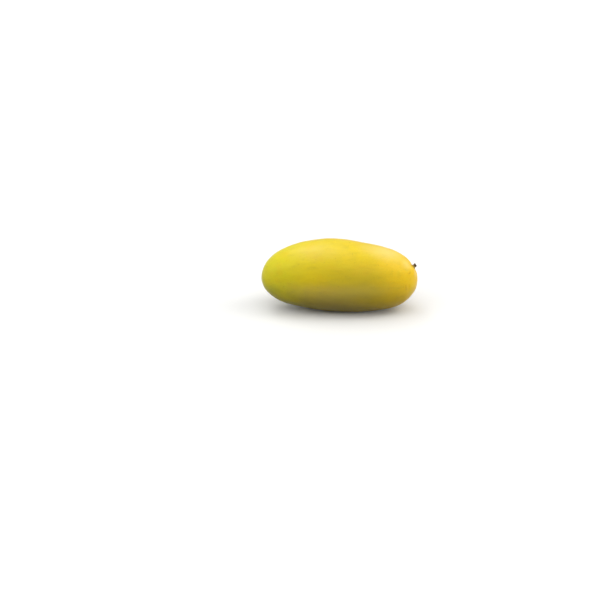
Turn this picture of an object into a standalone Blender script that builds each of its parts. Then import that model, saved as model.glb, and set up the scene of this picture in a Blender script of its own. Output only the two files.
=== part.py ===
"""A ripe yellow mango with the dry stub of its stem, set down on a small flat spot.

The fruit grew as one piece, so it is one solid. The stub is a solid of its own, on a seat at the stem end.
Both are modelled in the fruit's own frame: X runs from the tip to the stem end, Y through the two cheeks,
and Z from the belly edge up to the back edge. An empty then leans them back and stands them on the belly.
Lengths are in metres and +Z is up.
"""

from math import cos, pi, radians, sin

import bmesh
import bpy
import numpy as np
from mathutils import Matrix, Vector

MM = 0.001

# The fruit's outer size along its own axes
LENGTH = 140.0 * MM
DEPTH = 64.4 * MM
THICKNESS = 59.4 * MM

# How much fuller than an ellipsoid the two ends are, and the share of it that shifts to the stem end
EDGE_FULLNESS = 0.170
EDGE_FULLNESS_TO_STEM = -0.020
CHEEK_FULLNESS = 0.110
CHEEK_FULLNESS_TO_STEM = 0.060

# How square the cross-section is: 0 is a plain oval
SQUARENESS = 0.03

# The middle line bows up towards the back edge, most on the tip's half
BOW = 3.5 * MM
BOW_TO_TIP = 1.2

# A long low wave along the back edge gives it its soft shoulders
WAVE = 0.5 * MM
WAVE_LENGTH = 60.0 * MM
WAVE_CREST_X = -7.0 * MM

# Low swells (+) and dips (-) of the skin: where they are in the fruit's frame, their height and spread
SWELLS = {
    "belly": {"at": (-5, 0, -29), "height": 1.0, "spread": 22},
    "belly shoulder by the stem": {"at": (56, 0, -26), "height": 0.9, "spread": 16},
    "near cheek by the stem": {"at": (34, -28, 4), "height": 0.6, "spread": 20},
    "far cheek by the stem": {"at": (28, 29, 0), "height": 0.8, "spread": 22},
    "near cheek by the tip": {"at": (-46, -20, -6), "height": -0.5, "spread": 16},
    "upper corner of the tip": {"at": (-63, 0, 13), "height": 0.9, "spread": 14},
    "dip under the tip": {"at": (-65, 0, -15), "height": -1.0, "spread": 10},
}

# A very low unevenness all over, in waves about as long as a thumb is wide
UNEVENNESS = 0.16 * MM
UNEVEN_WAVE = 21.0 * MM

# The stem grew from the end's upper corner, in a shallow hollow with soft folds running into it
STEM_RISE = radians(18.0)
HOLLOW_DEPTH = 1.1 * MM
HOLLOW_SPREAD = 5.2 * MM
FOLDS = 7
FOLD_DEPTH = 0.22 * MM
FOLD_SPREAD = 7.5 * MM
SEAT_RADIUS = 2.8 * MM
SEAT_BLEND = 1.6 * MM

# The scar left by the flower, a pit on the tip
SCAR_DIRECTION = (-1.0, 0.02, -0.12)
SCAR_DEPTH = 0.5 * MM
SCAR_SPREAD = 1.9 * MM

# How it lies: the back edge leans away in +Y, the stem end is a touch high, and the belly is pressed flat
LEAN_BACK = radians(12.0)
STEM_END_UP = radians(0.7)
FLAT_DEPTH = 0.7 * MM

# The stub: a woody peg with a collar at its foot and a broken end, bent a little towards the back edge
STUB_LENGTH = 3.0 * MM
STUB_RADIUS = 1.45 * MM
COLLAR_RADIUS = 2.25 * MM
COLLAR_HEIGHT = 0.7 * MM
STUB_FLARE = 0.2 * MM
STUB_BEND = 0.25 * MM
STUB_RIDGES = 5
RIDGE_SHARE = 0.06
BREAK_SLOPE = 0.35 * MM
BREAK_TEETH = 4
TOOTH_HEIGHT = 0.14 * MM
PITH_RADIUS = 0.55 * MM
PITH_DEPTH = 0.45 * MM
TOUCH_GAP = 0.3 * MM

# How finely the solids are faceted
FRUIT_COLUMNS = 60
FRUIT_ROWS = 50
ROW_PULL = 0.5
STUB_SIDES = 20
STUB_ROWS = 9
SLIVER = 0.05 * MM

SKIN_COLOUR = (0.74, 0.55, 0.035, 1.0)
STUB_COLOUR = (0.075, 0.040, 0.016, 1.0)

STEM_DIRECTION = np.array((cos(STEM_RISE), 0.0, sin(STEM_RISE)))


def clear_scene():
    """Removes whatever the scene holds."""
    for thing in list(bpy.data.objects):
        bpy.data.objects.remove(thing, do_unlink=True)


def unit(vectors):
    """The same vectors at length 1."""
    return vectors / np.linalg.norm(vectors, axis=-1, keepdims=True)


def plain_body(n):
    """The smooth body at the unit vectors n, and its outward normals.

    Each vector is stretched to half the length, thickness and depth. Both cross sizes grow with the
    square of the distance from mid-length, which makes the ends blunt, and the middle line bows up.
    """
    along, across, up = n[:, 0], n[:, 1], n[:, 2]
    square = 1 + SQUARENESS * 4 * across**2 * up**2
    edge_fuller = 1 + (EDGE_FULLNESS + EDGE_FULLNESS_TO_STEM * along) * along**2
    cheek_fuller = 1 + (CHEEK_FULLNESS + CHEEK_FULLNESS_TO_STEM * along) * along**2
    middle = BOW * (1 - along**2) * (1 - BOW_TO_TIP * along)
    x = LENGTH / 2 * along
    y = THICKNESS / 2 * cheek_fuller * across * square
    lift = DEPTH / 2 * edge_fuller * up * square
    places = np.stack((x, y, middle + lift), axis=1)
    steepest = np.stack((x / LENGTH**2, y / THICKNESS**2, lift / DEPTH**2), axis=1)
    return places, unit(steepest)


def bell(places, centre, spread):
    """1 at the centre, falling off in every direction over the spread."""
    apart = ((places - np.asarray(centre)) ** 2).sum(axis=1)
    return np.exp(-apart / spread**2)


def relief(n, places):
    """How far the skin stands out from the smooth body, for the large soft forms."""
    back = (1 + n[:, 2]) / 2
    height = WAVE * np.cos(2 * pi * (places[:, 0] - WAVE_CREST_X) / WAVE_LENGTH) * back
    for swell in SWELLS.values():
        centre = np.array(swell["at"]) * MM
        height = height + swell["height"] * MM * bell(places, centre, swell["spread"] * MM)
    x, y, z = (places / UNEVEN_WAVE).T
    height = height + UNEVENNESS * np.sin(2.1 * x + 1.3 * z) * np.cos(1.7 * y - 0.9 * x + 0.6)
    return height


def end_marks(n, places):
    """The hollow and folds round the stem and the scar on the tip, as a height above the skin."""
    stem_place, _ = plain_body(STEM_DIRECTION[None])
    scar_place, _ = plain_body(unit(np.array([SCAR_DIRECTION])))
    off_axis = n - n @ STEM_DIRECTION[:, None] * STEM_DIRECTION
    upward = np.cross(STEM_DIRECTION, (0.0, 1.0, 0.0))
    round_stem = np.arctan2(off_axis[:, 1], off_axis @ upward)
    away = np.linalg.norm(places - stem_place, axis=1) / FOLD_SPREAD
    folds = np.cos(FOLDS * round_stem + 0.8 * np.sin(2 * round_stem)) * away**2 * np.exp(1 - away**2)
    hollow = -HOLLOW_DEPTH * bell(places, stem_place, HOLLOW_SPREAD)
    scar = -SCAR_DEPTH * bell(places, scar_place, SCAR_SPREAD)
    return hollow + FOLD_DEPTH * folds + scar


def free_skin(n):
    """The skin at the unit vectors n, before the stub's seat is levelled."""
    places, outward = plain_body(n)
    height = relief(n, places) + end_marks(n, places)
    return places + height[:, None] * outward


def seat():
    """The stub's seat: its centre on the skin, and the direction that the stub grows in."""
    _, outward = plain_body(STEM_DIRECTION[None])
    return free_skin(STEM_DIRECTION[None])[0], outward[0]


def skin(n):
    """The skin at the unit vectors n. Under the stub it is levelled to a small flat seat."""
    places = free_skin(n)
    centre, outward = seat()
    above = (places - centre) @ outward
    away = np.linalg.norm(places - centre, axis=1)
    level = np.clip((SEAT_RADIUS + SEAT_BLEND - away) / SEAT_BLEND, 0, 1)
    level = level**2 * (3 - 2 * level)
    return places - (level * above)[:, None] * outward


def ball():
    """A ball whose poles are at the stem and opposite it, with its rows drawn in towards the stem."""
    mesh = bmesh.new()
    bmesh.ops.create_uvsphere(mesh, u_segments=FRUIT_COLUMNS, v_segments=FRUIT_ROWS, radius=1.0)
    turn = Vector((0, 0, 1)).rotation_difference(Vector(STEM_DIRECTION)).to_matrix()
    for vert in mesh.verts:
        from_pole = Vector((0, 0, 1)).angle(vert.co)
        round_pole = Vector((vert.co.x, vert.co.y, 0)).normalized()
        drawn_in = from_pole - ROW_PULL * sin(from_pole)
        vert.co = turn @ (round_pole * sin(drawn_in) + Vector((0, 0, cos(drawn_in))))
    return mesh


def press_flat(mesh, down):
    """Cuts the flat spot: a plane square to down, a little above the lowest point, with its hole filled.

    A vertex almost on the plane counts as on it, so that no sliver is left, and is then moved onto it.
    """
    lowest = max(vert.co.dot(down) for vert in mesh.verts)
    level = lowest - FLAT_DEPTH
    everything = mesh.verts[:] + mesh.edges[:] + mesh.faces[:]
    bmesh.ops.bisect_plane(
        mesh,
        geom=everything,
        dist=SLIVER,
        plane_co=down * level,
        plane_no=down,
        clear_outer=True,
    )
    rim = [edge for edge in mesh.edges if edge.is_boundary]
    for vert in {vert for edge in rim for vert in edge.verts}:
        vert.co += down * (level - vert.co.dot(down))
    bmesh.ops.holes_fill(mesh, edges=rim, sides=0)
    bmesh.ops.recalc_face_normals(mesh, faces=mesh.faces)


def mango_fruit(down):
    """The fruit, in its own frame: the ball moved out to the skin, then pressed flat underneath."""
    mesh = ball()
    directions = np.array([vert.co for vert in mesh.verts])
    for vert, place in zip(mesh.verts, skin(unit(directions))):
        vert.co = place
    press_flat(mesh, down)
    return as_object("mango_fruit", mesh, finish("mango_skin", SKIN_COLOUR, 0.42))


def stub_ring(rise, shrink=1.0, sink=0.0):
    """One ring of the stub at a share of its height, shrunk for the rings inside the broken end."""
    height = rise * STUB_LENGTH
    collar = (COLLAR_RADIUS - STUB_RADIUS) * np.exp(-((height / COLLAR_HEIGHT) ** 2))
    radius = STUB_RADIUS + collar + STUB_FLARE * rise**4
    turn = np.arange(STUB_SIDES) * 2 * pi / STUB_SIDES
    ridged = radius * (1 + RIDGE_SHARE * np.cos(STUB_RIDGES * turn + 1.0)) * shrink
    broken = BREAK_SLOPE * np.cos(turn - 0.7) * shrink + TOOTH_HEIGHT * np.cos(BREAK_TEETH * turn)
    x = ridged * np.cos(turn) + STUB_BEND * rise**2
    y = ridged * np.sin(turn)
    z = height + broken * rise**3 - sink
    return np.stack((x, y, z), axis=1)


def stem_stub():
    """The stub, standing on its own origin: rings from the collar up, then down into the soft pith."""
    rings = [stub_ring(rise) for rise in np.linspace(0, 1, STUB_ROWS)]
    inner = PITH_RADIUS / STUB_RADIUS
    rings.append(stub_ring(1.0, shrink=(1 + inner) / 2, sink=0.1 * PITH_DEPTH))
    rings.append(stub_ring(1.0, shrink=inner, sink=PITH_DEPTH))
    mesh = bmesh.new()
    loops = [[mesh.verts.new(place) for place in ring] for ring in rings]
    for lower, upper in zip(loops, loops[1:]):
        for side in range(STUB_SIDES):
            after = (side + 1) % STUB_SIDES
            mesh.faces.new((lower[side], lower[after], upper[after], upper[side]))
    mesh.faces.new(reversed(loops[0]))
    mesh.faces.new(loops[-1])
    bmesh.ops.recalc_face_normals(mesh, faces=mesh.faces)
    return as_object("stem_stub", mesh, finish("stem_wood", STUB_COLOUR, 0.8))


def finish(name, colour, roughness):
    """A plain finish of one colour and roughness."""
    material = bpy.data.materials.new(name)
    material.use_nodes = True
    shader = material.node_tree.nodes["Principled BSDF"]
    shader.inputs["Base Color"].default_value = colour
    shader.inputs["Roughness"].default_value = roughness
    shader.inputs["Metallic"].default_value = 0.0
    return material


def as_object(name, mesh, material):
    """A smooth-shaded object made of a bmesh, which is then freed."""
    data = bpy.data.meshes.new(name)
    mesh.to_mesh(data)
    mesh.free()
    data.materials.append(material)
    data.shade_smooth()
    data.set_sharp_from_angle(angle=radians(40))
    thing = bpy.data.objects.new(name, data)
    bpy.context.scene.collection.objects.link(thing)
    return thing


def stub_placement():
    """Stands the stub on its seat, a touch clear of the skin, bent towards the back edge."""
    centre, outward = seat()
    upright = Vector(outward)
    side = upright.cross(Vector((0, 0, 1))).normalized()
    towards_back = side.cross(upright)
    axes = Matrix((towards_back, upright.cross(towards_back), upright)).transposed()
    return Matrix.Translation(Vector(centre) + TOUCH_GAP * upright) @ axes.to_4x4()


def ground(holder, pieces):
    """Moves the holder so that the pieces stand on z = 0 with their box centred on the origin."""
    bpy.context.view_layer.update()
    corners = np.array([piece.matrix_world @ vert.co for piece in pieces for vert in piece.data.vertices])
    low, high = corners.min(axis=0), corners.max(axis=0)
    middle = (low + high) / 2
    holder.location = (-middle[0], -middle[1], -low[2])


def build():
    """Makes the fruit and its stub, puts them together, and sets them down."""
    clear_scene()
    holder = bpy.data.objects.new("set_down", None)
    bpy.context.scene.collection.objects.link(holder)
    lean = Matrix.Rotation(-LEAN_BACK, 3, "X")
    pitch = Matrix.Rotation(-STEM_END_UP, 3, "Y")
    set_down = pitch @ lean
    fruit = mango_fruit(set_down.inverted() @ Vector((0, 0, -1)))
    stub = stem_stub()
    stub.matrix_basis = stub_placement()
    for piece in (fruit, stub):
        piece.parent = holder
    holder.rotation_euler = set_down.to_euler()
    ground(holder, (fruit, stub))


build()
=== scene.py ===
# %% [markdown]
# # A ripe yellow mango
#
# This lesson gives one mango its looks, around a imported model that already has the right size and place.
# The fruit is a living form with no straight line in it, so its skin is one formula worked out on a grid.
# The stem's dry stub is a second, small piece. After the shapes come the two finishes, then the studio.

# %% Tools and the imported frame
import math

import bpy
import numpy as np
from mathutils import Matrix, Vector


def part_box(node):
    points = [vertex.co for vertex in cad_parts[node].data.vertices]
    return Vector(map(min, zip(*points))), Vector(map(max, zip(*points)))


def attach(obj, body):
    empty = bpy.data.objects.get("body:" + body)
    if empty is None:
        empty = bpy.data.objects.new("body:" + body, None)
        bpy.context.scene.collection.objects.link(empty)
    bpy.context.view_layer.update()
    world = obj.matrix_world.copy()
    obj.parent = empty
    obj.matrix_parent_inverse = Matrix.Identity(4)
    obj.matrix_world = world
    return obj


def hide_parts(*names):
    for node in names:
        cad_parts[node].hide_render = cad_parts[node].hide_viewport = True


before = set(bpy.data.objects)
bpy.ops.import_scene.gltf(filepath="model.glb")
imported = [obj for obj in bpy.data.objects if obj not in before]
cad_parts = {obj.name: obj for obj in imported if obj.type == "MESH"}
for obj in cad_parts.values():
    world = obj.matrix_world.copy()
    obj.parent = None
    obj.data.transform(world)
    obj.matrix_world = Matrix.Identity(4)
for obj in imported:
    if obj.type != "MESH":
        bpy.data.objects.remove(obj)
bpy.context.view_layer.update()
MM = 0.001

# %% [markdown]
# ## The fruit's own measures
#
# A mango is longer than it is deep, and a little deeper than it is thick: its two cheeks are the flatter
# sides, and its back and belly are the narrower edges. So the fruit gets a frame of its own, with X from the
# tip to the stem end, Y through the cheeks and Z from belly to back, and three sizes along those axes.
# The ends are blunter than an ellipsoid's. That could be sculpted, but two "fullness" numbers say it exactly.

# %% Sizes of the body
LENGTH = 140.0 * MM
DEPTH = 64.4 * MM
THICKNESS = 59.4 * MM
EDGE_FULLNESS = 0.170
EDGE_FULLNESS_TO_STEM = -0.020
CHEEK_FULLNESS = 0.110
CHEEK_FULLNESS_TO_STEM = 0.060
SQUARENESS = 0.03
BOW = 3.5 * MM
BOW_TO_TIP = 1.2
print(f"The body is {LENGTH / MM:g} x {DEPTH / MM:g} x {THICKNESS / MM:g} mm in its own frame")

# %% [markdown]
# ## One formula for the whole body
#
# Every point of the skin belongs to one direction out from the fruit's middle, a vector of length 1 called n.
# A formula turns directions into points, so one grid of directions gives the whole skin at once, with no seam
# between parts. It also gives the normals, which later shapes need to stand straight off the skin.


# %% The smooth body
def unit(vectors):
    """The same vectors at length 1."""
    return vectors / np.linalg.norm(vectors, axis=-1, keepdims=True)


def plain_body(n):
    """The smooth body at the unit vectors n, and its outward normals.

    In words: half the length times n's share along X; half the thickness times its share along Y; the
    middle line's bow plus half the depth times its share along Z. Both cross sizes grow with the square
    of the X share, which makes the ends blunt, and a little in the corners between Y and Z.
    """
    along, across, up = n[..., 0], n[..., 1], n[..., 2]
    square = 1 + SQUARENESS * 4 * across**2 * up**2
    edge_fuller = 1 + (EDGE_FULLNESS + EDGE_FULLNESS_TO_STEM * along) * along**2
    cheek_fuller = 1 + (CHEEK_FULLNESS + CHEEK_FULLNESS_TO_STEM * along) * along**2
    middle = BOW * (1 - along**2) * (1 - BOW_TO_TIP * along)
    x = LENGTH / 2 * along
    y = THICKNESS / 2 * cheek_fuller * across * square
    lift = DEPTH / 2 * edge_fuller * up * square
    steepest = np.stack((x / LENGTH**2, y / THICKNESS**2, lift / DEPTH**2), axis=-1)
    return np.stack((x, y, middle + lift), axis=-1), unit(steepest)


both_ends, _ = plain_body(np.array(((-1.0, 0.0, 0.0), (1.0, 0.0, 0.0))))
print("The tip and the stem end are at", (both_ends / MM).round(1).tolist(), "mm")

# %% [markdown]
# ## Soft shoulders, swells and dips
#
# No mango is a clean oval: the back edge has soft shoulders, the belly is full, and a cheek may dip where the
# fruit grew against a leaf. Each of these is a low bell-shaped swell with a place, a height and a spread,
# added along the skin's own normal. A few named swells are easier to read and to correct than a sculpt.

# %% Where the skin swells and dips
WAVE = 0.5 * MM
WAVE_LENGTH = 60.0 * MM
WAVE_CREST_X = -7.0 * MM
SWELLS = {
    "belly": {"at": (-5, 0, -29), "height": 1.0, "spread": 22},
    "belly shoulder by the stem": {"at": (56, 0, -26), "height": 0.9, "spread": 16},
    "near cheek by the stem": {"at": (34, -28, 4), "height": 0.6, "spread": 20},
    "far cheek by the stem": {"at": (28, 29, 0), "height": 0.8, "spread": 22},
    "near cheek by the tip": {"at": (-46, -20, -6), "height": -0.5, "spread": 16},
    "upper corner of the tip": {"at": (-63, 0, 13), "height": 0.9, "spread": 14},
    "dip under the tip": {"at": (-65, 0, -15), "height": -1.0, "spread": 10},
}
UNEVENNESS = 0.16 * MM
UNEVEN_WAVE = 21.0 * MM


def bell(places, centre, spread):
    """1 at the centre, falling off as e to the minus square of the distance over the spread."""
    apart = ((places - np.asarray(centre)) ** 2).sum(axis=-1)
    return np.exp(-apart / spread**2)


def relief(n, places):
    """Height of the large soft forms: a long wave on the back edge, the swells, and a low unevenness."""
    back = (1 + n[..., 2]) / 2
    height = WAVE * np.cos(2 * np.pi * (places[..., 0] - WAVE_CREST_X) / WAVE_LENGTH) * back
    for swell in SWELLS.values():
        centre = np.array(swell["at"]) * MM
        height = height + swell["height"] * MM * bell(places, centre, swell["spread"] * MM)
    x, y, z = np.moveaxis(places / UNEVEN_WAVE, -1, 0)
    return height + UNEVENNESS * np.sin(2.1 * x + 1.3 * z) * np.cos(1.7 * y - 0.9 * x + 0.6)


print(len(SWELLS), "swells and dips shape the skin")

# %% [markdown]
# ## The stem end and the tip
#
# The stem grew from the upper corner of the blunt end. Round it the skin sinks in a shallow hollow, with soft
# folds that run into it, and directly under the stub it is level. At the other end the flower left a small
# pit. Both are written as heights round a point, so they stay put if the body's sizes change.

# %% Hollow, folds, seat and scar
STEM_RISE = math.radians(18.0)
STEM_DIRECTION = np.array((math.cos(STEM_RISE), 0.0, math.sin(STEM_RISE)))
STEM_UPWARD = np.cross(STEM_DIRECTION, (0.0, 1.0, 0.0))
HOLLOW_DEPTH = 1.1 * MM
HOLLOW_SPREAD = 5.2 * MM
FOLDS = 7
FOLD_DEPTH = 0.22 * MM
FOLD_SPREAD = 7.5 * MM
FOLD_UNEVENNESS = 0.8
SEAT_RADIUS = 2.8 * MM
SEAT_BLEND = 1.6 * MM
SCAR_DIRECTION = unit(np.array((-1.0, 0.02, -0.12)))
SCAR_DEPTH = 0.5 * MM
SCAR_SPREAD = 1.9 * MM


def turn_round_stem(n):
    """The angle round the stem's axis, 0 on the side of the back edge."""
    off_axis = n - (n @ STEM_DIRECTION)[..., None] * STEM_DIRECTION
    return np.arctan2(off_axis[..., 1], off_axis @ STEM_UPWARD)


def end_marks(n, places):
    """Height of the stem's hollow, of the folds that wave round it and of the pit on the tip."""
    stem_place, _ = plain_body(STEM_DIRECTION)
    scar_place, _ = plain_body(SCAR_DIRECTION)
    turn = turn_round_stem(n)
    away = np.linalg.norm(places - stem_place, axis=-1) / FOLD_SPREAD
    folds = np.cos(FOLDS * turn + FOLD_UNEVENNESS * np.sin(2 * turn)) * away**2 * np.exp(1 - away**2)
    hollow = -HOLLOW_DEPTH * bell(places, stem_place, HOLLOW_SPREAD)
    scar = -SCAR_DEPTH * bell(places, scar_place, SCAR_SPREAD)
    return hollow + FOLD_DEPTH * folds + scar


def free_skin(n):
    """The skin before its seat is levelled: the smooth body plus both kinds of height along its normals."""
    places, outward = plain_body(n)
    height = relief(n, places) + end_marks(n, places)
    return places + height[..., None] * outward, outward


stem_seat, stem_outward = free_skin(STEM_DIRECTION)
print("The stem's seat is at", (stem_seat / MM).round(1), "mm in the fruit's frame")

# %% [markdown]
# ## What only a close look shows
#
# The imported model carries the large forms. Nearer by, ripe skin is slightly hammered, as the flesh under it
# softens unevenly; there are a few pressed dents from other fruit, fine creases fan out from the stem, and
# the skin rises in a thin lip round the stub. A sum of waves in random directions makes the hammering: it
# has no seam and no visible repeat. The random draw is seeded, so the mango is the same one every time.

# %% The fine relief
HAMMER_WAVES = 48
HAMMER_HEIGHT = 0.075 * MM
HAMMER_SHORTEST = 7.0 * MM
HAMMER_LONGEST = 26.0 * MM
CREASES = 17
CREASE_DEPTH = 0.14 * MM
CREASE_FROM = 4.6 * MM
CREASE_SPREAD = 4.0 * MM
CREASE_WAVER = 0.5
CREASE_WAVER_PER_METRE = 400
LIP_RADIUS = 3.1 * MM
LIP_WIDTH = 0.6 * MM
LIP_HEIGHT = 0.28 * MM
DENTS = {
    "scuff low on the stem end": {"at": (61, -15, -5), "depth": 0.35, "spread": (1.2, 3.0, 3.6)},
    "rub on the near cheek": {"at": (-12, -31, -3), "depth": 0.16, "spread": (9.0, 9.0, 4.0)},
    "press mark on the back": {"at": (22, -9, 33), "depth": 0.22, "spread": (8.0, 6.0, 6.0)},
    "press mark on the far cheek": {"at": (-18, 30, 6), "depth": 0.30, "spread": (7.0, 7.0, 6.0)},
    "rub by the tip": {"at": (-58, -12, 10), "depth": 0.15, "spread": (4.0, 4.0, 3.0)},
}
draw = np.random.default_rng(7)
hammer_lengths = HAMMER_SHORTEST * (HAMMER_LONGEST / HAMMER_SHORTEST) ** draw.random(HAMMER_WAVES)
hammer_ways = unit(draw.normal(size=(HAMMER_WAVES, 3))) * 2 * np.pi / hammer_lengths[:, None]
hammer_starts = draw.random(HAMMER_WAVES) * 2 * np.pi


def hammered(places):
    """A sum of plane waves, one for each way and start, with long waves higher than short ones."""
    height = np.zeros(places.shape[:-1])
    for way, start, wave in zip(hammer_ways, hammer_starts, hammer_lengths):
        height += np.cos(places @ way + start) * wave / HAMMER_LONGEST
    return height * HAMMER_HEIGHT / math.sqrt(HAMMER_WAVES / 4)


def creases(n, places):
    """Narrow radial grooves: a cosine of the turn, sharpened by a power, in a ring round the stem."""
    turn = turn_round_stem(n)
    away = np.linalg.norm(places - stem_seat, axis=-1)
    ring = np.exp(-(((away - CREASE_FROM) / CREASE_SPREAD) ** 2))
    waver = CREASE_WAVER * np.sin(3 * turn + CREASE_WAVER_PER_METRE * away)
    return -CREASE_DEPTH * ring * (0.5 + 0.5 * np.cos(CREASES * turn + waver)) ** 4


def dents(places):
    """Shallow oval bells pushed inwards."""
    height = np.zeros(places.shape[:-1])
    for dent in DENTS.values():
        apart = (places / MM - np.array(dent["at"])) / np.array(dent["spread"])
        height -= dent["depth"] * MM * np.exp(-(apart**2).sum(axis=-1))
    return height


def fine_relief(n, places):
    """Hammering, dents, creases and the lip round the stub, all fading out on the seat itself."""
    away = np.linalg.norm(places - stem_seat, axis=-1)
    lip = LIP_HEIGHT * np.exp(-(((away - LIP_RADIUS) / LIP_WIDTH) ** 2))
    off_seat = np.clip((away - SEAT_RADIUS) / SEAT_BLEND, 0, 1)
    return lip + off_seat * (hammered(places) + dents(places) + creases(n, places))


print(HAMMER_WAVES, "waves hammer the skin and", len(DENTS), "dents are pressed into it")

# %% [markdown]
# ## The whole skin
#
# Now the parts are put together in one function from directions to points. Under the stub the skin is first
# levelled, because a plug of wood doesn't follow folds. Only then comes the fine relief, so that the lip
# still stands round the seat.


# %% From directions to the finished skin
def skin(n):
    """The free skin, levelled to a small flat seat under the stub, plus the fine relief."""
    places, outward = free_skin(n)
    above = (places - stem_seat) @ stem_outward
    away = np.linalg.norm(places - stem_seat, axis=-1)
    level = np.clip((SEAT_RADIUS + SEAT_BLEND - away) / SEAT_BLEND, 0, 1)
    level = level**2 * (3 - 2 * level)
    places = places - (level * above)[..., None] * stem_outward
    return places + fine_relief(n, places)[..., None] * outward


back_edge = skin(np.array((0.0, 0.0, 1.0)))
print("The back edge is", round(back_edge[2] / MM, 1), "mm above the fruit's own middle")

# %% [markdown]
# ## Setting the fruit down
#
# The fruit lies on its belly edge with the back edge leaning away, and a ripe fruit's weight presses a small
# flat spot. So every point is turned by the same two angles, and then whatever is below the flat is raised
# to it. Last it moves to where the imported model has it, in the mesh and not in the object, so that every
# object stays at the origin.

# %% Lean, pitch and the flat spot
LEAN_BACK = math.radians(12.0)
STEM_END_UP = math.radians(0.7)
FLAT_DEPTH = 0.7 * MM


def turned(places):
    """The points leaned back about X, then pitched up at the stem end about Y."""
    lean_cos, lean_sin = math.cos(LEAN_BACK), math.sin(LEAN_BACK)
    pitch_cos, pitch_sin = math.cos(STEM_END_UP), math.sin(STEM_END_UP)
    lean = np.array(((1, 0, 0), (0, lean_cos, lean_sin), (0, -lean_sin, lean_cos)))
    pitch = np.array(((pitch_cos, 0, -pitch_sin), (0, 1, 0), (pitch_sin, 0, pitch_cos)))
    return places @ (pitch @ lean).T


def polar_directions(rows, columns, pull):
    """Unit vectors in rings from the stem's direction to its opposite, drawn in towards the stem.

    The angle from the stem is t less pull times the sine of t, with t in even steps from 0 to half a turn.
    """
    even = np.linspace(0, np.pi, rows)[:, None]
    from_stem = even - pull * np.sin(even)
    turn = np.linspace(0, 2 * np.pi, columns, endpoint=False)[None]
    sideways = np.cross(STEM_DIRECTION, STEM_UPWARD)
    ring = np.cos(turn)[..., None] * STEM_UPWARD + np.sin(turn)[..., None] * sideways
    return np.cos(from_stem)[..., None] * STEM_DIRECTION + np.sin(from_stem)[..., None] * ring


SKIN_ROWS = 320
SKIN_COLUMNS = 300
SKIN_ROW_PULL = 0.45
directions = polar_directions(SKIN_ROWS, SKIN_COLUMNS, SKIN_ROW_PULL)
own_places = skin(directions)
rested = turned(own_places)
fruit_low, fruit_high = (np.array(corner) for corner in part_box("mango_fruit"))
grid_low, grid_high = rested.min(axis=(0, 1)), rested.max(axis=(0, 1))
move = (fruit_low + fruit_high) / 2 - (grid_low + grid_high) / 2
move[2] = -grid_low[2] - FLAT_DEPTH
rested = rested + move
rested[..., 2] = np.maximum(rested[..., 2], 0)
print("The skin is moved by", (move / MM).round(2), "mm")
print("It stands", round(rested[..., 2].max() / MM, 1), "mm high")

# %% [markdown]
# ## From grid to mesh
#
# A grid of points becomes a closed skin: each ring is joined to the next by four-sided faces, and the first
# and last rings shrink to one point each, where a fan of triangles closes the pole. The pole sits under the
# stem's stub, where it is hidden.


# %% Closed skins
def in_mesh_order(rings):
    """Values on a grid as a flat list: the first pole, the rings between, the last pole."""
    between = rings[1:-1].reshape(-1, *rings.shape[2:])
    return np.concatenate((rings[:1, 0], between, rings[-1:, 0]))


def closed_skin(name, rings):
    """A smooth-shaded object over the rings, with a pole at each end.

    Its faces point outwards if the rings turn anticlockwise, as seen from outside the first pole.
    """
    rows, columns = rings.shape[:2]
    points = in_mesh_order(rings)
    first = 1 + np.arange((rows - 2) * columns).reshape(rows - 2, columns)
    after = np.roll(first, -1, axis=1)
    quads = np.stack((first[:-1], first[1:], after[1:], after[:-1]), axis=-1).reshape(-1, 4)
    start = np.stack((np.zeros_like(first[0]), first[0], after[0]), axis=-1)
    end = np.stack((np.full_like(first[0], len(points) - 1), after[-1], first[-1]), axis=-1)
    mesh = bpy.data.meshes.new(name)
    mesh.from_pydata(points.tolist(), [], start.tolist() + quads.tolist() + end.tolist())
    mesh.shade_smooth()
    thing = bpy.data.objects.new(name, mesh)
    bpy.context.scene.collection.objects.link(thing)
    return thing


def give_attribute(thing, name, rings):
    """Stores one number for each vertex under a name that a material can read."""
    attribute = thing.data.attributes.new(name, "FLOAT", "POINT")
    attribute.data.foreach_set("value", in_mesh_order(rings).astype(np.float32))


print("Between its poles the skin has", SKIN_ROWS - 2, "rings of", SKIN_COLUMNS, "points")

# %% [markdown]
# ## The fruit
#
# The grid becomes the fruit's mesh. Each vertex also carries its distance from the stem, for the cork there.
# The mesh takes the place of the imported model's plain fruit, rides on the same body, and gets its own finish.

# %% The fruit's mesh
fruit = closed_skin("mango_skin_surface", rested)
give_attribute(fruit, "from_stem", np.linalg.norm(own_places - stem_seat, axis=-1))
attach(fruit, "root")
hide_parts("mango_fruit")
print("The fruit has", len(fruit.data.polygons), "faces")

# %% [markdown]
# ## The stub of the stem
#
# Where the fruit was snapped from the tree, a short dry peg stays behind: a swollen collar at its foot, a
# ridged woody side, and a broken end with torn fibres round a soft pith. It is a profile carried round an
# axis, with ridges that depend on the turn. The profile runs from the middle of the hidden foot out over the
# collar, up the side, over the rim and down into the pith. It starts a little inside the fruit, because the
# real one is rooted there.

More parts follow.
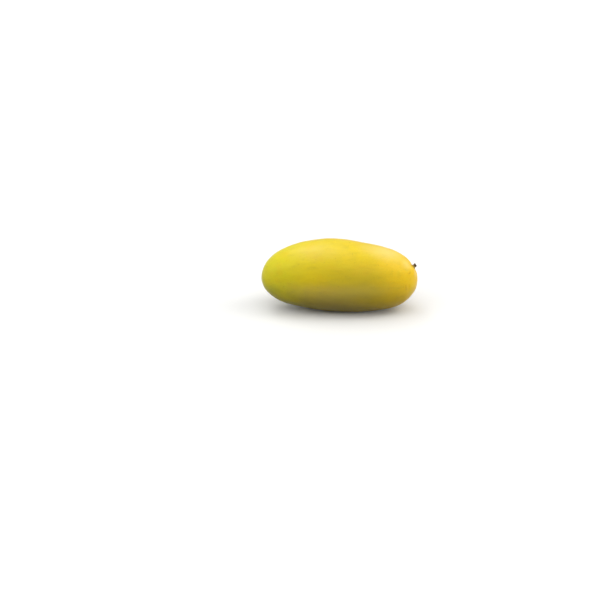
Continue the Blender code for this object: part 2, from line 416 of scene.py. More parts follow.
# %% Sizes of the stub
STUB_LENGTH = 3.0 * MM
STUB_RADIUS = 1.45 * MM
COLLAR_RADIUS = 2.25 * MM
COLLAR_HEIGHT = 0.7 * MM
STUB_FLARE = 0.2 * MM
STUB_BEND = 0.25 * MM
STUB_RIDGES = 5
RIDGE_SHARE = 0.06
BREAK_SLOPE = 0.35 * MM
PITH_RADIUS = 0.5 * MM
PITH_DEPTH = 0.45 * MM
TOUCH_GAP = 0.3 * MM
ROOT_DEPTH = 0.5 * MM
FIBRE_COUNTS = (26, 15, 41, 9)
FIBRE_DRIFT = 1.2
FIBRE_SHARE = 0.035
KNOB_SHARE = 0.05
SMALL_KNOB_SHARE = 0.04
BREAK_TURN = 0.7
END_HOLLOW = 0.12 * MM
END_BLEND = 6
TORN_HEIGHT = 0.22 * MM
END_ROUGHNESS = TORN_HEIGHT / 2
FOOT_ROWS = 6
SIDE_ROWS = 70
END_ROWS = 34
STUB_COLUMNS = 120
print("The stub ends", round((TOUCH_GAP + STUB_LENGTH) / MM, 1), "mm off its seat")

# %% [markdown]
# ## A profile carried round the stub's axis
#
# Two numbers run over the stub: the turn round its axis, and a place along the profile. The place is told by
# how far up the side it is, the rise, and by its share of the radius, which is 0 on the axis. Wood fibres are
# waves round the turn. The same waves make the torn rim and the dark of the grooves, so they belong together.


# %% The stub's surface
def fibre_wave(turn, rise):
    """Lengthwise fibres: cosines of many turns, each drifting a little as it rises, between -1 and 1."""
    total = np.zeros(np.broadcast(turn, rise).shape)
    fibres = np.random.default_rng(11)
    for count in FIBRE_COUNTS:
        drift, start = fibres.normal() * FIBRE_DRIFT, fibres.random() * 2 * np.pi
        total += np.cos(count * turn + start + drift * rise)
    return total / len(FIBRE_COUNTS)


def stub_side(turn, rise):
    """Radius and height of the side, which has a collar and a flare, ridges and fibres.

    In words: the radius is the stub's, plus a bell at the foot and the fourth power of the rise at the rim,
    times one plus a few small cosines of the turn. The height is the rise, torn at the rim.
    """
    height = rise * (STUB_LENGTH + ROOT_DEPTH)
    above_skin = np.clip(height - ROOT_DEPTH, 0, None)
    collar = (COLLAR_RADIUS - STUB_RADIUS) * np.exp(-((above_skin / COLLAR_HEIGHT) ** 2))
    knobs = 1 + KNOB_SHARE * np.cos(3 * turn + 0.4) + SMALL_KNOB_SHARE * np.cos(8 * turn + 2.0)
    radius = STUB_RADIUS + collar * knobs + STUB_FLARE * rise**4
    radius = radius * (1 + RIDGE_SHARE * np.cos(STUB_RIDGES * turn + 1.0))
    radius = radius * (1 + FIBRE_SHARE * fibre_wave(turn, rise) * np.clip(4 * rise, 0, 1))
    torn = BREAK_SLOPE * np.cos(turn - BREAK_TURN) + TORN_HEIGHT * fibre_wave(turn, 1 + rise)
    return radius, height + torn * rise**6


def stub_rings():
    """All rings of the stub, and its marks: grooves, how high a point is, the broken end and the pith."""
    turn = np.linspace(0, 2 * np.pi, STUB_COLUMNS, endpoint=False)[None]
    share = np.concatenate((
        np.linspace(0, 1, FOOT_ROWS, endpoint=False),
        np.ones(SIDE_ROWS),
        np.linspace(1, 0, END_ROWS + 1)[1:],
    ))[:, None]
    rise = np.concatenate((np.zeros(FOOT_ROWS), np.linspace(0, 1, SIDE_ROWS), np.ones(END_ROWS)))[:, None]
    radius, height = stub_side(turn, rise)
    on_end = (rise == 1) & (share < 1)
    rough = END_ROUGHNESS * fibre_wave(turn * 2, share * 5) * share
    pith = PITH_DEPTH * np.exp(-((share * STUB_RADIUS / PITH_RADIUS) ** 4))
    slope = BREAK_SLOPE * np.cos(turn - BREAK_TURN) * share
    end_height = STUB_LENGTH + ROOT_DEPTH + slope + rough - pith - END_HOLLOW * (1 - share)
    blend = np.clip((1 - share) * END_BLEND, 0, 1)
    height = np.where(on_end, height * (1 - blend) + end_height * blend, height)
    x = radius * share * np.cos(turn) + STUB_BEND * rise**2
    y = radius * share * np.sin(turn)
    places = np.stack((x, y, height), axis=-1)
    all_over = np.ones_like(x)
    marks = {
        "groove": (0.5 - 0.5 * fibre_wave(turn, rise)) * all_over,
        "rise": rise * all_over,
        "broken": on_end * blend * all_over,
        "pith": on_end * np.exp(-((share * STUB_RADIUS / PITH_RADIUS) ** 4)) * all_over,
    }
    return places, marks


print("The stub's profile has", FOOT_ROWS + SIDE_ROWS + END_ROWS, "points")

# %% [markdown]
# ## The stub in its place
#
# The stub grew straight out of its seat. So its axes are built on the seat's outward direction, and it is
# turned and moved as the fruit was. Its marks go along with it as attributes, for the finish to read. The
# rings were made from the foot up. The mesh takes them from the broken end down, so that its faces point
# outwards.

# %% The stub's mesh
stub_places, stub_marks = stub_rings()
towards_side = np.cross(stem_outward, (0.0, 0.0, 1.0))
towards_side = towards_side / np.linalg.norm(towards_side)
towards_back = np.cross(towards_side, stem_outward)
stub_axes = np.stack((towards_back, np.cross(stem_outward, towards_back), stem_outward))
stub_foot = stem_seat + (TOUCH_GAP - ROOT_DEPTH) * stem_outward
stub_skin = turned(stub_foot + stub_places @ stub_axes) + move
stub = closed_skin("stem_stub_wood", stub_skin[::-1])
for mark, rings in stub_marks.items():
    give_attribute(stub, mark, rings[::-1])
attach(stub, "root")
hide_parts("stem_stub")
print("The stub has", len(stub.data.polygons), "faces")

# %% [markdown]
# ## A small helper for finishes
#
# A finish is a chain of nodes. It could be clicked together in the shader editor, but in code it can be read
# and repeated. One helper makes a node, sets what is given by name, and links an input where it is handed
# another node's output. The rest are the few steps that every recipe below is made of. Where a node's sockets
# share a name, as in sums and in the colour mix, they are told by their numbers.


# %% Making nodes
def add(tree, kind, inputs=None, **settings):
    """One node. Its inputs are values or other nodes' outputs, by the socket's name or number."""
    node = tree.nodes.new(kind)
    node.location = (190 * len(tree.nodes), 0)
    for name, value in settings.items():
        setattr(node, name, value)
    for key, value in (inputs or {}).items():
        if isinstance(value, bpy.types.NodeSocket):
            tree.links.new(value, node.inputs[key])
        else:
            node.inputs[key].default_value = value
    return node


def arithmetic(tree, operation, first, second=0.0, clamp=False):
    """The result of one sum."""
    return add(tree, "ShaderNodeMath", {0: first, 1: second}, operation=operation, use_clamp=clamp).outputs[0]


def vector_sum(tree, operation, first, second=(0.0, 0.0, 0.0), output="Vector"):
    """The result of one sum with vectors."""
    return add(tree, "ShaderNodeVectorMath", {0: first, 1: second}, operation=operation).outputs[output]


def ease(tree, value, low, high, to_low=0.0, to_high=1.0):
    """The value eased from one range to another with a soft start and end. The first range may run down."""
    inputs = {"Value": value, "From Min": low, "From Max": high, "To Min": to_low, "To Max": to_high}
    return add(tree, "ShaderNodeMapRange", inputs, interpolation_type="SMOOTHSTEP").outputs["Result"]


MIX_AMOUNT, MIX_FIRST, MIX_SECOND, MIX_RESULT = 0, 6, 7, 2


def blend_colour(tree, amount, first, second):
    """Two colours mixed by an amount from 0 to 1."""
    inputs = {MIX_AMOUNT: amount, MIX_FIRST: first, MIX_SECOND: second}
    return add(tree, "ShaderNodeMix", inputs, data_type="RGBA").outputs[MIX_RESULT]


def new_finish(name):
    """An empty finish: the material, its tree, its shader and its Object coordinates."""
    material = bpy.data.materials.new(name)
    material.use_nodes = True
    tree = material.node_tree
    place = add(tree, "ShaderNodeTexCoord").outputs["Object"]
    return material, tree, tree.nodes["Principled BSDF"], place


def attribute(tree, name):
    """A number that the mesh carries at each vertex."""
    return add(tree, "ShaderNodeAttribute", attribute_name=name).outputs["Fac"]


print("A colour mix reads its sockets", MIX_AMOUNT, MIX_FIRST, "and", MIX_SECOND, "and gives", MIX_RESULT)

# %% [markdown]
# ## Patterns in space
#
# The patterns of skin and wood are made in space, and the surface cuts them where it happens to be. That
# needs no unwrapping and has no seam. Everything here is made of soft clouds, ovals with a place of their own
# and scattered dots, some of them drawn out along the fruit or with their edges pushed about.

# %% Clouds, ovals and dots
DOT_SOFT_FROM = 0.4


def stretched(tree, place, scale):
    """The coordinates times a scale for each axis. A small scale draws the pattern out along that axis."""
    return add(tree, "ShaderNodeMapping", {"Vector": place, "Scale": scale}).outputs["Vector"]


def cloud(tree, place, size, detail=3.0):
    """Soft noise between 0 and 1, with blotches about as wide as size."""
    inputs = {"Vector": place, "Scale": 1 / size, "Detail": detail}
    return add(tree, "ShaderNodeTexNoise", inputs).outputs["Fac"]


def wobbly(tree, place, size, reach):
    """The coordinates pushed about by soft noise, so that what is drawn with them has uneven edges."""
    noise = add(tree, "ShaderNodeTexNoise", {"Vector": place, "Scale": 1 / size, "Detail": 2.0})
    centred = vector_sum(tree, "SUBTRACT", noise.outputs["Color"], (0.5, 0.5, 0.5))
    push = vector_sum(tree, "MULTIPLY", centred, (2 * reach, 2 * reach, 2 * reach))
    return vector_sum(tree, "ADD", place, push)


def oval(tree, place, at, size):
    """1 in the middle of an oval patch, easing to 0 at its edge. Both are in mm, in the fruit's own frame."""
    middle = turned(np.array(at) * MM) + move
    scale = 1 / (np.array(size) * MM)
    inputs = {"Vector": place, "Location": (-middle * scale).tolist(), "Scale": scale.tolist()}
    inside = add(tree, "ShaderNodeMapping", inputs).outputs["Vector"]
    return ease(tree, vector_sum(tree, "LENGTH", inside, output="Value"), 1.0, 0.0)


def dots(tree, place, cell, radius):
    """Scattered dots: 1 in a dot and 0 off it, and a second output with one random number for each dot.

    Space is filled with cells of one point each. A dot is where the nearest point is closer than the
    radius, so the skin cuts some dots through their middle and others near their edge, and their sizes vary.
    """
    points = add(tree, "ShaderNodeTexVoronoi", {"Vector": place, "Scale": 1 / cell, "Randomness": 1.0})
    lot = add(tree, "ShaderNodeSeparateColor", {"Color": points.outputs["Color"]}).outputs["Red"]
    return ease(tree, points.outputs["Distance"], radius / cell, DOT_SOFT_FROM * radius / cell), lot


print("Ovals lean back with the fruit, by", round(math.degrees(LEAN_BACK), 1), "degrees")

# %% [markdown]
# ## The skin's ground colour
#
# This mango ripened from the stem end: that end is a warm golden yellow, the middle is a clear yellow, and
# the tip still has some green in it. The change is gradual and wavers from place to place. A ramp along X
# does it, with X pushed back and forth by soft noise first.

# %% Colours along the fruit
TIP_YELLOW = (0.870, 0.775, 0.018, 1.0)
GREENISH_YELLOW = (0.860, 0.735, 0.012, 1.0)
CLEAR_YELLOW = (0.895, 0.690, 0.011, 1.0)
WARM_YELLOW = (0.835, 0.600, 0.010, 1.0)
GOLDEN = (0.945, 0.600, 0.012, 1.0)
GROUND_STOPS = {-66: TIP_YELLOW, -50: GREENISH_YELLOW, -24: CLEAR_YELLOW, 26: WARM_YELLOW, 62: GOLDEN}
WAVER = 9 * MM
WAVER_SIZE = 24 * MM


def ground_colour(tree, place):
    """The ramp along X, its coordinate wavering by up to half of WAVER each way."""
    x = add(tree, "ShaderNodeSeparateXYZ", {"Vector": place}).outputs["X"]
    centred = arithmetic(tree, "SUBTRACT", cloud(tree, place, WAVER_SIZE), 0.5)
    drift = arithmetic(tree, "MULTIPLY", centred, WAVER)
    share = arithmetic(tree, "DIVIDE", arithmetic(tree, "ADD", x, drift), LENGTH)
    ramp = add(tree, "ShaderNodeValToRGB", {"Fac": arithmetic(tree, "ADD", share, 0.5)})
    stops = ramp.color_ramp.elements
    while len(stops) < len(GROUND_STOPS):
        stops.new(0.5)
    for stop, (at, colour) in zip(stops, GROUND_STOPS.items()):
        stop.position = at * MM / LENGTH + 0.5
        stop.color = colour
    return ramp.outputs["Color"]


print("The ground colour has", len(GROUND_STOPS), "stops from tip to stem")

# %% [markdown]
# ## Clouds and streaks in the colour
#
# Nothing on a ripe skin is one even colour. Olive and amber clouds lie over the yellow where it ripened later
# or sooner, and over those run faint streaks, drawn out lengthwise as the fruit grew. Painting them by hand
# would fix them to one mesh; noise in space, stretched along X, can be tuned by its size and its amount.

# %% Mottling
OLIVE = (0.500, 0.388, 0.026, 1.0)
AMBER = (0.930, 0.520, 0.008, 1.0)
PALE_YELLOW = (0.960, 0.800, 0.050, 1.0)
OLIVE_CLOUDS = 0.22
AMBER_CLOUDS = 0.20
CLOUD_SIZE = 13 * MM
CLOUD_DRAW = (0.6, 1.0, 1.0)
STREAKS = 0.19
STREAK_SIZE = 3.2 * MM
STREAK_DRAW = (0.22, 1.0, 1.0)
GRAIN = 0.16
GRAIN_SIZE = 0.9 * MM
# The noise runs from 0 to 1. Each shade sets in at the first of its two values and is full at the second.
OLIVE_RANGE = (0.52, 0.74)
AMBER_RANGE = (0.48, 0.26)
PALE_RANGE = (0.50, 0.80)
DARK_RANGE = (0.50, 0.20)
GRAIN_RANGE = (0.45, 0.75)


def mottled(tree, place, colour):
    """Broad clouds to olive and to amber, then lengthwise streaks and a fine grain, darker and paler."""
    broad = cloud(tree, stretched(tree, place, CLOUD_DRAW), CLOUD_SIZE, detail=2.0)
    colour = blend_colour(tree, ease(tree, broad, *OLIVE_RANGE, 0.0, OLIVE_CLOUDS), colour, OLIVE)
    colour = blend_colour(tree, ease(tree, broad, *AMBER_RANGE, 0.0, AMBER_CLOUDS), colour, AMBER)
    streak = cloud(tree, stretched(tree, place, STREAK_DRAW), STREAK_SIZE, detail=3.0)
    colour = blend_colour(tree, ease(tree, streak, *PALE_RANGE, 0.0, STREAKS), colour, PALE_YELLOW)
    colour = blend_colour(tree, ease(tree, streak, *DARK_RANGE, 0.0, STREAKS), colour, OLIVE)
    grain = cloud(tree, place, GRAIN_SIZE, detail=2.0)
    return blend_colour(tree, ease(tree, grain, *GRAIN_RANGE, 0.0, GRAIN), colour, OLIVE)


print("Streaks are drawn out", round(1 / STREAK_DRAW[0], 1), "times as long as they are wide")

# %% [markdown]
# ## Shades in their own places
#
# Some patches belong to this one fruit and not to mangoes in general. The near cheek is olive in its middle;
# lower down a duller ochre is painted shade, where the underside is darker, and above that a thin grey bloom
# is also a painted sheen. It is still green low by the tip. On the shoulders and the back a thicker wax shows
# as a pale bloom that is also a painted highlight, and the dent of the scuff on the stem end gets a painted
# shade. These are ovals with a place and a size in the fruit's own frame, with wobbly edges, and each one
# leans a part of the way to its colour.

# %% Named patches
FRESH_GREEN = (0.520, 0.570, 0.045, 1.0)
# Painted shade: a dull ochre that darkens the near cheek low down, where the underside is in shade.
PAINTED_SHADE_OCHRE = (0.340, 0.250, 0.110, 1.0)
# A pale wax bloom that is also a painted highlight on the shoulders and the back.
WAX_BLOOM_AND_SHINE = (0.950, 0.780, 0.270, 1.0)
# A grey bloom that is also a painted sheen of pale light low on the near cheek.
GREY_BLOOM_AND_SHEEN = (0.780, 0.620, 0.170, 1.0)
BRIGHT_YELLOW = (0.990, 0.770, 0.008, 1.0)
RUSSET = (0.300, 0.135, 0.030, 1.0)
BURNT_ORANGE = (0.560, 0.250, 0.012, 1.0)
PATCH_WOBBLE = (7 * MM, 2.2 * MM)
# Each patch has a middle and a size in mm, a colour, and how far the skin leans to that colour.
PATCHES = {
    # Painted shade: the underside of the near cheek is darkened in its colour.
    "painted shade low on the near cheek": ((-8, -23, -20), (60, 20, 25), PAINTED_SHADE_OCHRE, 0.55),
    # Wax bloom and painted highlight: these three patches paint the pale shine on the shoulder, by the stem and
    # on the back.
    "wax and painted shine on the shoulder by the stem": ((42, -11, 26), (37, 16, 13), WAX_BLOOM_AND_SHINE, 0.55),
    "wax and painted shine beside the stem": ((60, -11, 15), (9, 9, 8), WAX_BLOOM_AND_SHINE, 0.45),
    "wax and painted shine on the back": ((-18, -17, 27), (44, 15, 12), WAX_BLOOM_AND_SHINE, 0.26),
    "olive on the near cheek": ((18, -27, -1), (40, 22, 26), OLIVE, 0.36),
    # Grey bloom and painted sheen: the lower band is made greyer in its colour.
    "grey bloom and painted sheen low on the near cheek": ((-4, -27, -7), (86, 22, 13), GREY_BLOOM_AND_SHEEN, 0.28),
    "amber on the near cheek": ((-24, -27, 2), (20, 20, 18), AMBER, 0.14),
    "bright on the near cheek": ((-30, -27, 8), (20, 14, 13), BRIGHT_YELLOW, 0.45),
    "green low by the tip": ((-59, -14, -8), (13, 12, 8), FRESH_GREEN, 0.42),
    "green under the tip": ((-52, 6, -26), (22, 24, 14), FRESH_GREEN, 0.30),
    "olive along the far cheek": ((-12, 29, -6), (44, 18, 20), OLIVE, 0.35),
    "amber on the far shoulder": ((40, 20, 18), (26, 20, 18), AMBER, 0.40),
    # Painted shade: the dent of the scuff is darkened in its colour.
    "painted shade in the scuff": ((59.4, -17.4, -4.4), (1.5, 4.0, 4.6), BURNT_ORANGE, 0.34),
    "smudge below the stem": ((62.4, -13.9, 6.9), (3.0, 4.2, 1.6), BURNT_ORANGE, 0.42),
    "smudge on the back": ((14, 6, 36), (5.0, 3.0, 4.0), RUSSET, 0.16),
    "rub on the far cheek": ((-34, 27, 2), (7.0, 6.0, 2.2), RUSSET, 0.22),
}


def patched(tree, place, colour):
    """The colour leaned towards each patch's own, most in the middle of its oval."""
    edgy = wobbly(tree, place, *PATCH_WOBBLE)
    for at, size, shade, most in PATCHES.values():
        here = arithmetic(tree, "MULTIPLY", oval(tree, edgy, at, size), most)
        colour = blend_colour(tree, here, colour, shade)
    return colour


print(len(PATCHES), "patches have places of their own")

# %% [markdown]
# ## Lenticels
#
# A mango's skin breathes through lenticels: pale dots about half a millimetre wide and a few millimetres
# apart. In a ripe fruit some of them have gone brown. Modelling thousands of dots would be wasteful, because
# nobody feels their height, so they are drawn in the colour and lifted a little in the bump.

# %% Pale and brown dots
LENTICEL_CELL = 1.9 * MM
LENTICEL_RADIUS = 0.34 * MM
LENTICEL_PALENESS = 0.48
BROWNED_SHARE = 0.07
BROWNED_DEPTH = 0.75
FRECKLE_CELL = 9.5 * MM
FRECKLE_RADIUS = 0.55 * MM
FRECKLE_WOBBLE = (1.2 * MM, 0.25 * MM)
FRECKLE_LOTS = (0.2, 1.0)
FRECKLE_DEPTH = (0.10, 0.60)
FRECKLE_BROWN = (0.170, 0.075, 0.020, 1.0)


def dotted(tree, place, colour):
    """The colour with its lenticels and a few larger brown freckles, and how much of a lenticel is here."""
    lenticel, lot = dots(tree, place, LENTICEL_CELL, LENTICEL_RADIUS)
    pale = arithmetic(tree, "MULTIPLY", lenticel, LENTICEL_PALENESS)
    colour = blend_colour(tree, pale, colour, PALE_YELLOW)
    browned = arithmetic(tree, "MULTIPLY", lenticel, arithmetic(tree, "LESS_THAN", lot, BROWNED_SHARE))
    colour = blend_colour(tree, arithmetic(tree, "MULTIPLY", browned, BROWNED_DEPTH), colour, FRECKLE_BROWN)
    freckle, lot = dots(tree, wobbly(tree, place, *FRECKLE_WOBBLE), FRECKLE_CELL, FRECKLE_RADIUS)
    strength = ease(tree, lot, *FRECKLE_LOTS, *FRECKLE_DEPTH)
    colour = blend_colour(tree, arithmetic(tree, "MULTIPLY", freckle, strength), colour, FRECKLE_BROWN)
    return colour, lenticel


print("Lenticels are up to", round(2 * LENTICEL_RADIUS / MM, 1), "mm across")

# %% [markdown]
# ## Russet at both ends
#
# Round the stub the skin turned to cork when the stem dried, and brown lines fan out from there a short way.
# The scar on the tip is a brown dot. The fan is noise read along directions from the stub: every point on one
# line out from it has the same direction, so the noise makes rays.

# %% Cork round the stub and on the tip
CORK = (0.300, 0.170, 0.050, 1.0)
CORK_RING = (2.3 * MM, 3.6 * MM)
CORK_MOST = 0.75
RAGGED_SIZE = 1.4 * MM
RAGGED_REACH = 2.4 * MM
FAN_REACH = (3.0 * MM, 9.5 * MM)
FAN_MOST = 0.42
FAN_RANGE = (0.52, 0.70)
RAYS = 7.0
TIP_SCAR_RADIUS = 1.5 * MM
TIP_SCAR_WOBBLE = (1.5 * MM, 0.25 * MM)


def stem_cork(tree, place):
    """How corky the skin is near the stub: a ring with a ragged edge, and a fan of fading rays."""
    away = attribute(tree, "from_stem")
    centred = arithmetic(tree, "SUBTRACT", cloud(tree, place, RAGGED_SIZE), 0.5)
    ragged = arithmetic(tree, "MULTIPLY", centred, RAGGED_REACH)
    ring = ease(tree, arithmetic(tree, "ADD", away, ragged), CORK_RING[1], CORK_RING[0], 0.0, CORK_MOST)
    centre = turned(stem_seat) + move
    outward = vector_sum(tree, "NORMALIZE", vector_sum(tree, "SUBTRACT", place, centre.tolist()))
    rays = cloud(tree, outward, 1 / RAYS, detail=2.0)
    fan = ease(tree, rays, *FAN_RANGE, 0.0, FAN_MOST)
    fading = ease(tree, away, FAN_REACH[1], FAN_REACH[0])
    return arithmetic(tree, "MAXIMUM", ring, arithmetic(tree, "MULTIPLY", fan, fading))


def tip_scar(tree, place):
    """A round brown dot where the flower was, with a soft edge."""
    scar_place, _ = free_skin(SCAR_DIRECTION)
    reach = TIP_SCAR_RADIUS / MM
    return oval(tree, wobbly(tree, place, *TIP_SCAR_WOBBLE), scar_place / MM, (reach, reach, reach))


print("The cork's rays fade out", round(FAN_REACH[1] / MM, 1), "mm from the stem")

# %% [markdown]
# ## The skin's finish
#
# Last comes the gloss. The skin has a thin wax on it, so light glances off in a broad, soft patch and never
# in a sharp point, and a trace of light goes a millimetre or two into the flesh. Fine pores and the lenticels
# stand out by hundredths of a millimetre, which is work for a bump and not for the mesh.

# %% Gloss, bump and everything together
SKIN_GLOSS_ROUGH = 0.38
GLOSS_CHANGE = 0.05
WAX_SIZE = 9 * MM
WAX_RANGE = (0.3, 0.7)
CORK_ROUGHER = 0.35
SKIN_SPECULAR = 0.30
PORE_SIZE = 0.55 * MM
PORE_HEIGHT = 0.020 * MM
LENTICEL_HEIGHT = 0.030 * MM
CRUST_SIZE = 0.35 * MM
CRUST_HEIGHT = 0.10 * MM
FLESH_GLOW = 0.12
FLESH_REACH = (1.0, 0.55, 0.12)
FLESH_DEPTH = 1.6 * MM


def skin_height(tree, place, lenticel, cork):
    """The bump's height in metres: pores, lenticels and the rough cork."""
    pores = arithmetic(tree, "MULTIPLY", cloud(tree, place, PORE_SIZE, detail=3.0), PORE_HEIGHT)
    raised = arithmetic(tree, "MULTIPLY", lenticel, LENTICEL_HEIGHT)
    crust = arithmetic(tree, "MULTIPLY", cloud(tree, place, CRUST_SIZE, detail=4.0), CRUST_HEIGHT)
    rough = arithmetic(tree, "MULTIPLY", crust, cork)
    return arithmetic(tree, "ADD", arithmetic(tree, "ADD", pores, raised), rough)


def skin_finish():
    """Everything on the skin, from the ground colour to the shader."""
    material, tree, shader, place = new_finish("mango_skin_finish")
    colour, lenticel = dotted(tree, place, mottled(tree, place, ground_colour(tree, place)))
    colour = patched(tree, place, colour)
    cork = arithmetic(tree, "MAXIMUM", stem_cork(tree, place), tip_scar(tree, place))
    colour = blend_colour(tree, cork, colour, CORK)
    waxy, dull = SKIN_GLOSS_ROUGH - GLOSS_CHANGE, SKIN_GLOSS_ROUGH + GLOSS_CHANGE
    wax = ease(tree, cloud(tree, place, WAX_SIZE), *WAX_RANGE, waxy, dull)
    rough = arithmetic(tree, "ADD", wax, arithmetic(tree, "MULTIPLY", cork, CORK_ROUGHER), clamp=True)
    height = skin_height(tree, place, lenticel, cork)
    bump = add(tree, "ShaderNodeBump", {"Height": height, "Distance": 1.0, "Strength": 1.0})
    tree.links.new(colour, shader.inputs["Base Color"])
    tree.links.new(rough, shader.inputs["Roughness"])
    tree.links.new(bump.outputs["Normal"], shader.inputs["Normal"])
    shader.inputs["Specular IOR Level"].default_value = SKIN_SPECULAR
    shader.inputs["Subsurface Weight"].default_value = FLESH_GLOW
    shader.inputs["Subsurface Radius"].default_value = FLESH_REACH
    shader.inputs["Subsurface Scale"].default_value = FLESH_DEPTH
    return material


fruit.data.materials.append(skin_finish())
print("The skin's finish has", len(fruit.data.materials[0].node_tree.nodes), "nodes")

# %% [markdown]
# ## The stub's finish
#
# The stub is dead wood: dark brown and dull, darker still in the grooves between its fibres, and paler where
# it broke, with a dark spot of pith. Its foot hasn't dried through yet and is tan. The mesh already knows
# where those places are, so it carries them to the finish as numbers, and no pattern is lined up by hand.

# %% Dry wood
BARK_PALE = (0.175, 0.115, 0.060, 1.0)
BARK_DARK = (0.034, 0.020, 0.010, 1.0)
BREAK_PALE = (0.290, 0.205, 0.110, 1.0)
PITH_DARK = (0.040, 0.024, 0.012, 1.0)
FOOT_TAN = (0.560, 0.390, 0.095, 1.0)
FOOT_REACH = (0.62, 0.30)
FOOT_MOST = 0.74
SPECK_SIZE = 0.30 * MM
GROOVE_RANGE = (0.25, 0.75)
BREAK_RANGE = (0.30, 0.60)
BREAK_LEAST = 0.45
STUB_ROUGH = 0.86
STUB_SPECULAR = 0.25
WOOD_HEIGHT = 0.05 * MM


def stub_finish():
    """Bark by its grooves, a foot still the skin's colour in part, and the broken end round its pith."""
    material, tree, shader, place = new_finish("stem_wood_finish")
    speck = cloud(tree, place, SPECK_SIZE, detail=4.0)
    deep = arithmetic(tree, "ADD", attribute(tree, "groove"), arithmetic(tree, "SUBTRACT", speck, 0.5))
    colour = blend_colour(tree, ease(tree, deep, *GROOVE_RANGE), BARK_PALE, BARK_DARK)
    ragged = arithmetic(tree, "MULTIPLY", arithmetic(tree, "SUBTRACT", speck, 0.5), 0.5)
    foot = ease(tree, arithmetic(tree, "ADD", attribute(tree, "rise"), ragged), *FOOT_REACH, 0.0, FOOT_MOST)
    colour = blend_colour(tree, foot, colour, FOOT_TAN)
    patchy = ease(tree, speck, *BREAK_RANGE, BREAK_LEAST, 1.0)
    broken = arithmetic(tree, "MULTIPLY", attribute(tree, "broken"), patchy)
    colour = blend_colour(tree, broken, colour, BREAK_PALE)
    colour = blend_colour(tree, attribute(tree, "pith"), colour, PITH_DARK)
    height = arithmetic(tree, "MULTIPLY", speck, WOOD_HEIGHT)
    bump = add(tree, "ShaderNodeBump", {"Height": height, "Distance": 1.0, "Strength": 1.0})
    tree.links.new(colour, shader.inputs["Base Color"])
    tree.links.new(bump.outputs["Normal"], shader.inputs["Normal"])
    shader.inputs["Roughness"].default_value = STUB_ROUGH
    shader.inputs["Specular IOR Level"].default_value = STUB_SPECULAR
    return material


stub.data.materials.append(stub_finish())
print("The stub's finish has", len(stub.data.materials[0].node_tree.nodes), "nodes")

# %% [markdown]
# ## The floor
#
# The fruit stands on a plain pale floor that fills the view. A white floor throws so much light back up that
# the fruit's underside would glow. A studio holds that down with dark flags beside the subject. Here the
# floor shows its pale colour to the eye and a darker one to the light that bounces off it. A real backdrop
# curves up behind the floor and hides the line between them. Here the far floor glows a little, to the eye
# alone, so that it ends in the same white as what is behind it.

# %% A pale disc
FLOOR_RADIUS = 2.6
FLOOR_COLUMNS = 96
FLOOR_PALE = (0.97, 0.97, 0.96, 1.0)
FLOOR_BOUNCE = (0.02, 0.02, 0.018, 1.0)
FLOOR_ROUGH = 0.9
FAR_FLOOR = (0.5, 1.8)
FAR_GLOW = 0.25


def pale_floor():
    """A large flat disc at z = 0. Each point of its rim is at the radius times its turn's cosine and sine."""
    turn = np.linspace(0, 2 * np.pi, FLOOR_COLUMNS, endpoint=False)
    rim = np.stack((np.cos(turn), np.sin(turn), 0 * turn), axis=-1) * FLOOR_RADIUS
    mesh = bpy.data.meshes.new("pale_floor")
    mesh.from_pydata(rim.tolist(), [], [list(range(FLOOR_COLUMNS))])
    disc = bpy.data.objects.new("pale_floor", mesh)
    bpy.context.scene.collection.objects.link(disc)
    return disc


def floor_finish():
    """A matt floor, pale to the eye and darker to the soft light that bounces off it, with a far glow."""
    material, tree, shader, place = new_finish("pale_floor_finish")
    path = add(tree, "ShaderNodeLightPath").outputs
    colour = blend_colour(tree, path["Is Diffuse Ray"], FLOOR_PALE, FLOOR_BOUNCE)
    far = ease(tree, vector_sum(tree, "LENGTH", place, output="Value"), *FAR_FLOOR, 0.0, FAR_GLOW)
    glow = arithmetic(tree, "MULTIPLY", far, path["Is Camera Ray"])
    tree.links.new(colour, shader.inputs["Base Color"])
    tree.links.new(glow, shader.inputs["Emission Strength"])
    shader.inputs["Emission Color"].default_value = (1.0, 1.0, 1.0, 1.0)
    shader.inputs["Roughness"].default_value = FLOOR_ROUGH
    shader.inputs["Specular IOR Level"].default_value = 0.0
    return material


floor = pale_floor()
floor.data.materials.append(floor_finish())
print("The floor is", 2 * FLOOR_RADIUS, "m across")

# %% [markdown]
# ## The light
#
# The light is plain and soft: a white sky, as inside a light tent, with five soft panels. For the fruit the
# sky is dimmer near the horizon, so that its underside is darker than its back. To the camera it is one full
# white, for an even backdrop. The large panel high in front fills the near cheek, and it leaves no shine, as
# a lamp behind a polarising filter doesn't. Two more leave none: one on the left for the tip, and a low one
# on the right for the round of the stem end, down to its underside. A high one on the right makes the broad
# shine on the shoulder by the stem, and a small one behind on the left makes a weaker shine on the back.
# Each is placed by its direction as seen from the fruit.

# %% Sky and panels
SKY_STRENGTH = 0.63
HORIZON_STRENGTH = 0.41
FULL_SKY_FROM = 0.5
BACKDROP_STRENGTH = 1.02
PANEL_DISTANCE = 4.0
PANELS = {
    "front_panel": {"power": 64.0, "size": 5.0, "azimuth": -12, "elevation": 64, "shines": False},
    "left_panel": {"power": 21.0, "size": 2.4, "azimuth": -70, "elevation": 30, "shines": False},
    "right_panel": {"power": 24.0, "size": 1.8, "azimuth": 88, "elevation": 48, "shines": True},
    "low_right_panel": {"power": 60.0, "size": 0.7, "azimuth": 90, "elevation": 6, "shines": False},
    "back_panel": {"power": 15.0, "size": 1.6, "azimuth": -140, "elevation": 58, "shines": True},
}
LIT_POINT = (0.0, 0.0, 0.03)


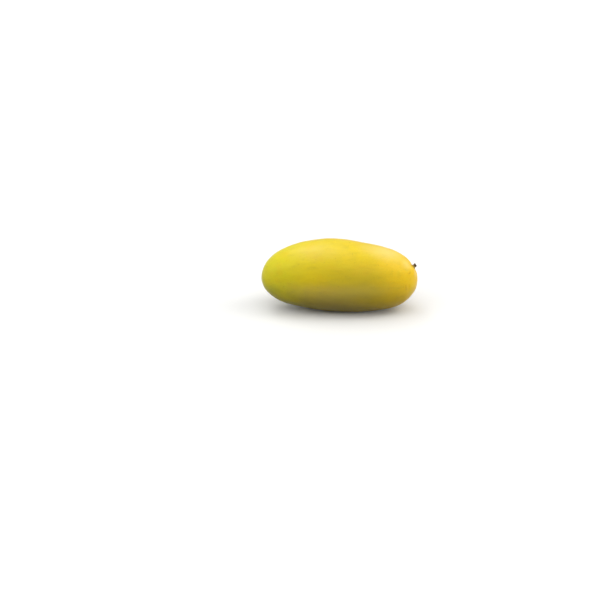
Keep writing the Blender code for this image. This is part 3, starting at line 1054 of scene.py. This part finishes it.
def direction(azimuth, elevation):
    """The unit vector at an azimuth and elevation in degrees: 0 is towards the viewer and 90 to the right."""
    turn, rise = math.radians(azimuth), math.radians(elevation)
    return np.array((math.cos(rise) * math.sin(turn), -math.cos(rise) * math.cos(turn), math.sin(rise)))


def aim(thing, place, target):
    """Puts a lamp or the camera at a place, looking at a target."""
    thing.location = place
    thing.rotation_euler = (Vector(target) - Vector(place)).to_track_quat("-Z", "Y").to_euler()


def white_sky():
    """A white world, for the fruit dimmer towards the horizon, for the camera a full white backdrop."""
    world = bpy.data.worlds.new("studio")
    bpy.context.scene.world = world
    world.use_nodes = True
    tree = world.node_tree
    seen = add(tree, "ShaderNodeLightPath").outputs["Is Camera Ray"]
    ways = add(tree, "ShaderNodeTexCoord").outputs["Generated"]
    upward = add(tree, "ShaderNodeSeparateXYZ", {"Vector": ways}).outputs["Z"]
    unseen = ease(tree, upward, 0.0, FULL_SKY_FROM, HORIZON_STRENGTH, SKY_STRENGTH)
    strength = ease(tree, seen, 0.0, 1.0, unseen, BACKDROP_STRENGTH)
    background = tree.nodes["Background"]
    background.inputs["Color"].default_value = (1.0, 1.0, 1.0, 1.0)
    tree.links.new(strength, background.inputs["Strength"])


def soft_panel(name, power, size, azimuth, elevation, shines):
    """A square lamp facing the fruit. One that doesn't shine gives light but isn't seen in a gloss."""
    lamp = bpy.data.lights.new(name, "AREA")
    lamp.energy = power
    lamp.size = size
    panel = bpy.data.objects.new(name, lamp)
    bpy.context.scene.collection.objects.link(panel)
    aim(panel, LIT_POINT + PANEL_DISTANCE * direction(azimuth, elevation), LIT_POINT)
    panel.visible_glossy = shines


white_sky()
for panel_name, settings in PANELS.items():
    soft_panel(panel_name, **settings)
print("A white sky and", len(PANELS), "soft panels light the fruit")

# %% [markdown]
# ## The camera
#
# The camera looks down at the fruit by 22 degrees, square to its length, from far enough for a long lens that
# keeps the two ends in proportion. The fruit sits a little right of and above the middle of a square frame,
# so the camera aims a little to the left of and below it.

# %% Framing
FRAME_PIXELS = 600
FRUIT_AT_PIXEL = (339.1, 274.1)
PIXELS_PER_METRE = 1111
CAMERA_DISTANCE = 1.27
CAMERA_ELEVATION = 22
SENSOR_WIDTH = 36


def place_camera():
    """A camera whose lens gives PIXELS_PER_METRE at the fruit, aimed so that the fruit is at its pixel."""
    data = bpy.data.cameras.new("camera")
    data.sensor_width = SENSOR_WIDTH
    data.lens = SENSOR_WIDTH * PIXELS_PER_METRE * CAMERA_DISTANCE / FRAME_PIXELS
    thing = bpy.data.objects.new("camera", data)
    bpy.context.scene.collection.objects.link(thing)
    bpy.context.scene.camera = thing
    to_right = (FRUIT_AT_PIXEL[0] - FRAME_PIXELS / 2) / PIXELS_PER_METRE
    to_top = (FRAME_PIXELS / 2 - FRUIT_AT_PIXEL[1]) / PIXELS_PER_METRE
    middle = (fruit_low + fruit_high) / 2
    picture_right = np.array((1, 0, 0))
    picture_top = direction(180, 90 - CAMERA_ELEVATION)
    target = middle - picture_right * to_right - picture_top * to_top
    aim(thing, middle + direction(0, CAMERA_ELEVATION) * CAMERA_DISTANCE, target)
    return thing


camera = place_camera()
bpy.context.scene.view_settings.view_transform = "Standard"
print("The camera's lens is", round(camera.data.lens, 1), "mm")
